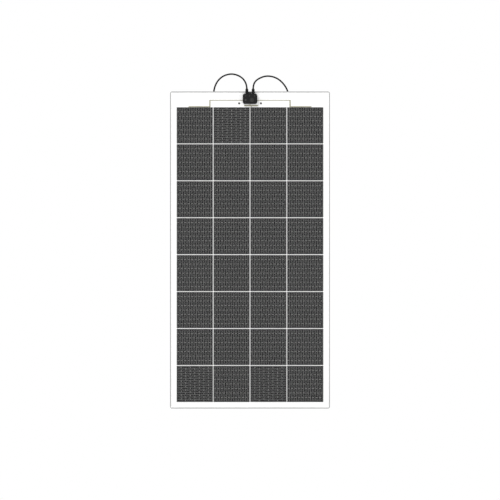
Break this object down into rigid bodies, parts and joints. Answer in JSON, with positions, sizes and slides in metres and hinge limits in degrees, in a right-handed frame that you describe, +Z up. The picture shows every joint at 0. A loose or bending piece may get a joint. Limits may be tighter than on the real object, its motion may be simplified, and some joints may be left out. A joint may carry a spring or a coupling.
{
  "type": "flexible solar sheet",
  "caption": "Flexible laminate of square solar cells with a low front junction box and two leads that arch over its top edge to plug connectors behind.",
  "frame": {"origin": "centre of the sheet on its flat rear face, which is the face that is bonded to a surface", "axes": "+Z up along the sheet's long side towards the junction box, +X to the right as seen from the front, the front looks along -Y and the rear face looks along +Y"},
  "size_m": [0.688, 0.0414, 1.4434],
  "materials": {
    "backsheet": "matt white laminate",
    "encapsulant": "clear soft plastic over a white sheet",
    "cell": "dark grey textured silicon",
    "tinned_wire": "satin tinned metal",
    "front_film": "clear satin film",
    "tinned_ribbon": "satin tinned copper",
    "black_plastic": "fine textured black plastic",
    "adhesive": "matt black adhesive",
    "seal_rubber": "matt black rubber",
    "steel": "bright steel",
    "brass": "satin brass",
    "diode_body": "black epoxy",
    "nut_plastic": "black moulded plastic",
    "lead_jacket": "satin black jacket",
    "connector_plastic": "black moulded plastic",
    "contact_metal": "tin plated"
  },
  "bodies": {
    "strip_1": {"backsheet_1": "backsheet", "encapsulant_1": "encapsulant", "cells_row_1": "cell", "wires_row_1": "tinned_wire", "front_film_1": "front_film", "bus_ribbons": "tinned_ribbon", "polarity_discs": "black_plastic", "adhesive_pad": "adhesive", "box_base": "black_plastic", "lid_gasket": "seal_rubber", "hinge_pin": "steel", "terminal_clamps": "brass", "bypass_diodes": "diode_body", "gland_seals": "seal_rubber", "cable_left": "lead_jacket", "cable_right": "lead_jacket", "pin_housing": "connector_plastic", "socket_housing": "connector_plastic", "contact_pin": "contact_metal", "contact_sleeve": "contact_metal"},
    "strip_2": {"backsheet_2": "backsheet", "encapsulant_2": "encapsulant", "cells_row_2": "cell", "wires_row_2": "tinned_wire", "front_film_2": "front_film"},
    "strip_3": {"backsheet_3": "backsheet", "encapsulant_3": "encapsulant", "cells_row_3": "cell", "wires_row_3": "tinned_wire", "front_film_3": "front_film"},
    "strip_4": {"backsheet_4": "backsheet", "encapsulant_4": "encapsulant", "cells_row_4": "cell", "wires_row_4": "tinned_wire", "front_film_4": "front_film"},
    "strip_5": {"backsheet_5": "backsheet", "encapsulant_5": "encapsulant", "cells_row_5": "cell", "wires_row_5": "tinned_wire", "front_film_5": "front_film"},
    "strip_6": {"backsheet_6": "backsheet", "encapsulant_6": "encapsulant", "cells_row_6": "cell", "wires_row_6": "tinned_wire", "front_film_6": "front_film"},
    "strip_7": {"backsheet_7": "backsheet", "encapsulant_7": "encapsulant", "cells_row_7": "cell", "wires_row_7": "tinned_wire", "front_film_7": "front_film"},
    "strip_8": {"backsheet_8": "backsheet", "encapsulant_8": "encapsulant", "cells_row_8": "cell", "wires_row_8": "tinned_wire", "front_film_8": "front_film"},
    "lid": {"box_lid": "black_plastic"},
    "gland_nut_left": {"gland_nut_left": "nut_plastic"},
    "gland_nut_right": {"gland_nut_right": "nut_plastic"},
    "connector_nut_left": {"connector_nut_left": "nut_plastic"},
    "connector_nut_right": {"connector_nut_right": "nut_plastic"}
  },
  "joints": [
    {"name": "flex_4", "type": "hinge", "parent": "strip_4", "child": "strip_5", "pos_m": [0, -0.001, -0.02], "axis": [1, 0, 0], "range_deg": [-4.29, 4.29], "stiffness_Nm_per_rad": 20},
    {"name": "flex_5", "type": "hinge", "parent": "strip_5", "child": "strip_6", "pos_m": [0, -0.001, -0.179], "axis": [1, 0, 0], "range_deg": [-4.29, 4.29], "stiffness_Nm_per_rad": 20},
    {"name": "flex_6", "type": "hinge", "parent": "strip_6", "child": "strip_7", "pos_m": [0, -0.001, -0.338], "axis": [1, 0, 0], "range_deg": [-4.29, 4.29], "stiffness_Nm_per_rad": 20},
    {"name": "flex_7", "type": "hinge", "parent": "strip_7", "child": "strip_8", "pos_m": [0, -0.001, -0.497], "axis": [1, 0, 0], "range_deg": [-4.29, 4.29], "stiffness_Nm_per_rad": 20},
    {"name": "flex_3", "type": "hinge", "parent": "strip_4", "child": "strip_3", "pos_m": [0, -0.001, 0.139], "axis": [1, 0, 0], "range_deg": [-4.29, 4.29], "stiffness_Nm_per_rad": 20},
    {"name": "flex_2", "type": "hinge", "parent": "strip_3", "child": "strip_2", "pos_m": [0, -0.001, 0.298], "axis": [1, 0, 0], "range_deg": [-4.29, 4.29], "stiffness_Nm_per_rad": 20},
    {"name": "flex_1", "type": "hinge", "parent": "strip_2", "child": "strip_1", "pos_m": [0, -0.001, 0.457], "axis": [1, 0, 0], "range_deg": [-4.29, 4.29], "stiffness_Nm_per_rad": 20},
    {"name": "lid_hinge", "type": "hinge", "parent": "strip_1", "child": "lid", "pos_m": [0, -0.0165, 0.677], "axis": [-1, 0, 0], "range_deg": [0, 100]},
    {"name": "gland_nut_left_turn", "type": "hinge", "parent": "strip_1", "child": "gland_nut_left", "pos_m": [-0.0136, -0.0095, 0.6833], "axis": [0, 0, 1], "continuous": true},
    {"name": "gland_nut_right_turn", "type": "hinge", "parent": "strip_1", "child": "gland_nut_right", "pos_m": [0.0136, -0.0095, 0.6833], "axis": [0, 0, 1], "continuous": true},
    {"name": "connector_nut_left_turn", "type": "hinge", "parent": "strip_1", "child": "connector_nut_left", "pos_m": [-0.151, 0.014, 0.542], "axis": [0, 0, 1], "continuous": true},
    {"name": "connector_nut_right_turn", "type": "hinge", "parent": "strip_1", "child": "connector_nut_right", "pos_m": [0.17, 0.014, 0.538], "axis": [0, 0, 1], "continuous": true}
  ],
  "couplings": [
    {"joint": "flex_5", "follows": "flex_4", "ratio": 1},
    {"joint": "flex_6", "follows": "flex_4", "ratio": 1},
    {"joint": "flex_7", "follows": "flex_4", "ratio": 1},
    {"joint": "flex_3", "follows": "flex_4", "ratio": -1},
    {"joint": "flex_2", "follows": "flex_4", "ratio": -1},
    {"joint": "flex_1", "follows": "flex_4", "ratio": -1}
  ]
}
